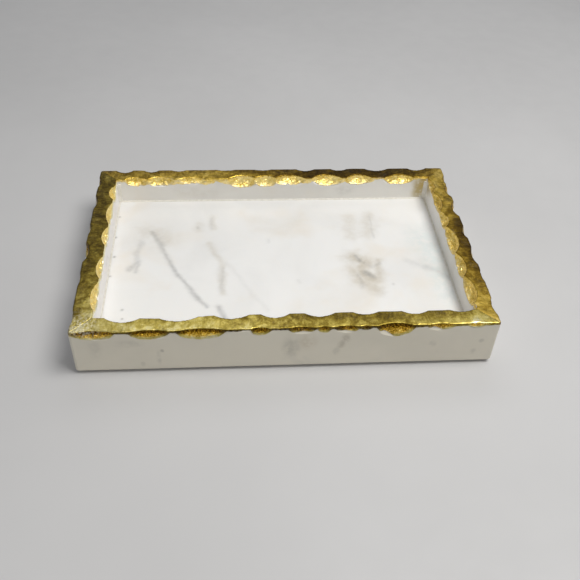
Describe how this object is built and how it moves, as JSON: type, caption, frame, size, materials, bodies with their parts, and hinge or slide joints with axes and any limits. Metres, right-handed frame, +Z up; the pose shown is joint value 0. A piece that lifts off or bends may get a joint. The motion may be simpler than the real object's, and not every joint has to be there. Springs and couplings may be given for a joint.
{
  "type": "marble vanity tray",
  "caption": "Shallow rectangular white marble vanity tray with slab walls, a hand-chipped rim covered in gold leaf and low bumper feet.",
  "frame": {"origin": "centre of the footprint on the surface the feet stand on", "axes": "+X along the tray's length to the right, +Y to the back, +Z up; the front face is at -Y"},
  "size_m": [0.305, 0.2, 0.0415],
  "materials": {
    "white_marble": "polished white marble with faint grey and tan veins",
    "gold_leaf": "crinkled gold leaf, semi-gloss with dark toned patches",
    "stone_resin": "off-white polyester stone resin, satin",
    "clear_bumper": "milky clear polyurethane, satin"
  },
  "bodies": {
    "root": {"base_slab": "white_marble", "front_wall": "white_marble", "back_wall": "white_marble", "left_wall": "white_marble", "right_wall": "white_marble", "front_gold_leaf": "gold_leaf", "back_gold_leaf": "gold_leaf", "left_gold_leaf": "gold_leaf", "right_gold_leaf": "gold_leaf", "front_base_joint": "stone_resin", "back_base_joint": "stone_resin", "left_base_joint": "stone_resin", "right_base_joint": "stone_resin", "front_left_corner_joint": "stone_resin", "front_right_corner_joint": "stone_resin", "back_left_corner_joint": "stone_resin", "back_right_corner_joint": "stone_resin", "front_left_foot": "clear_bumper", "front_right_foot": "clear_bumper", "back_left_foot": "clear_bumper", "back_right_foot": "clear_bumper"}
  },
  "joints": []
}
